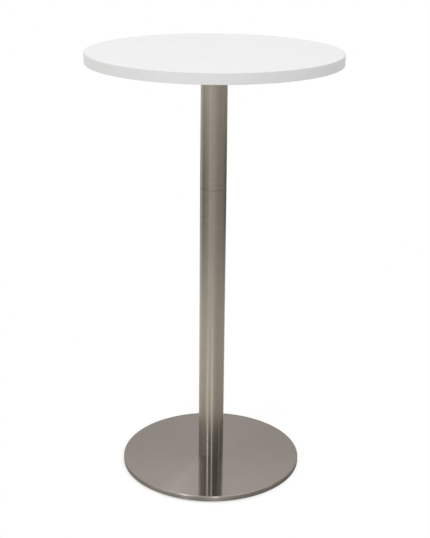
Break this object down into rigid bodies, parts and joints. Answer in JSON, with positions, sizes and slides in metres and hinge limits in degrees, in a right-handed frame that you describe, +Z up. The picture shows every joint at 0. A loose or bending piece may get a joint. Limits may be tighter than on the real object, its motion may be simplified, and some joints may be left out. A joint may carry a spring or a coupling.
{
  "type": "pub table",
  "caption": "Bar-height pedestal table: round white top on a brushed stainless column and a flat round weighted base with screw-adjustable levelling feet.",
  "frame": {"origin": "centre of the base on the floor, on the column's axis", "axes": "+Z up along the column, +X and +Y along the arms of the spider under the top"},
  "size_m": [0.6, 0.6, 1.05],
  "materials": {
    "white_laminate": "particle board with a plain white matt melamine face",
    "white_edging": "white satin plastic edging",
    "black_coated_steel": "fine-textured black powder coat",
    "brushed_stainless": "stainless steel brushed round the axis",
    "turned_steel": "turned mild steel, lightly oiled",
    "zinc_steel": "bright zinc plate",
    "black_nylon": "moulded black nylon"
  },
  "bodies": {
    "table": {"top_board": "white_laminate", "edge_band": "white_edging", "spider_plate": "black_coated_steel", "base_weight": "black_coated_steel", "upper_column_tube": "brushed_stainless", "lower_column_tube": "brushed_stainless", "base_cover": "brushed_stainless", "spider_hub": "turned_steel", "column_joiner": "turned_steel", "base_hub": "turned_steel", "spider_screws": "zinc_steel", "upper_tie_rod": "zinc_steel", "lower_tie_rod": "zinc_steel", "rod_coupler": "zinc_steel", "rod_jam_nut": "zinc_steel", "rod_washer": "zinc_steel", "rod_spring_washer": "zinc_steel", "rod_nut": "zinc_steel", "foot_inserts": "zinc_steel"},
    "foot_pad_1": {"foot_pad_1": "black_nylon"},
    "foot_stud_1": {"foot_stud_1": "zinc_steel"},
    "foot_pad_2": {"foot_pad_2": "black_nylon"},
    "foot_stud_2": {"foot_stud_2": "zinc_steel"},
    "foot_pad_3": {"foot_pad_3": "black_nylon"},
    "foot_stud_3": {"foot_stud_3": "zinc_steel"},
    "foot_pad_4": {"foot_pad_4": "black_nylon"},
    "foot_stud_4": {"foot_stud_4": "zinc_steel"}
  },
  "joints": [
    {"name": "foot_1_travel", "type": "slide", "parent": "table", "child": "foot_pad_1", "axis": [0, 0, -1], "range_m": [0, 0.004]},
    {"name": "foot_1_turn", "type": "hinge", "parent": "foot_pad_1", "child": "foot_stud_1", "pos_m": [0.13081, 0.13081, 0.003], "axis": [0, 0, -1], "range_deg": [0, 1152]},
    {"name": "foot_2_travel", "type": "slide", "parent": "table", "child": "foot_pad_2", "axis": [0, 0, -1], "range_m": [0, 0.004]},
    {"name": "foot_2_turn", "type": "hinge", "parent": "foot_pad_2", "child": "foot_stud_2", "pos_m": [-0.13081, 0.13081, 0.003], "axis": [0, 0, -1], "range_deg": [0, 1152]},
    {"name": "foot_3_travel", "type": "slide", "parent": "table", "child": "foot_pad_3", "axis": [0, 0, -1], "range_m": [0, 0.004]},
    {"name": "foot_3_turn", "type": "hinge", "parent": "foot_pad_3", "child": "foot_stud_3", "pos_m": [-0.13081, -0.13081, 0.003], "axis": [0, 0, -1], "range_deg": [0, 1152]},
    {"name": "foot_4_travel", "type": "slide", "parent": "table", "child": "foot_pad_4", "axis": [0, 0, -1], "range_m": [0, 0.004]},
    {"name": "foot_4_turn", "type": "hinge", "parent": "foot_pad_4", "child": "foot_stud_4", "pos_m": [0.13081, -0.13081, 0.003], "axis": [0, 0, -1], "range_deg": [0, 1152]}
  ],
  "couplings": [
    {"joint": "foot_1_travel", "follows": "foot_1_turn", "m_per_rad": 0.00019894},
    {"joint": "foot_2_travel", "follows": "foot_2_turn", "m_per_rad": 0.00019894},
    {"joint": "foot_3_travel", "follows": "foot_3_turn", "m_per_rad": 0.00019894},
    {"joint": "foot_4_travel", "follows": "foot_4_turn", "m_per_rad": 0.00019894}
  ]
}
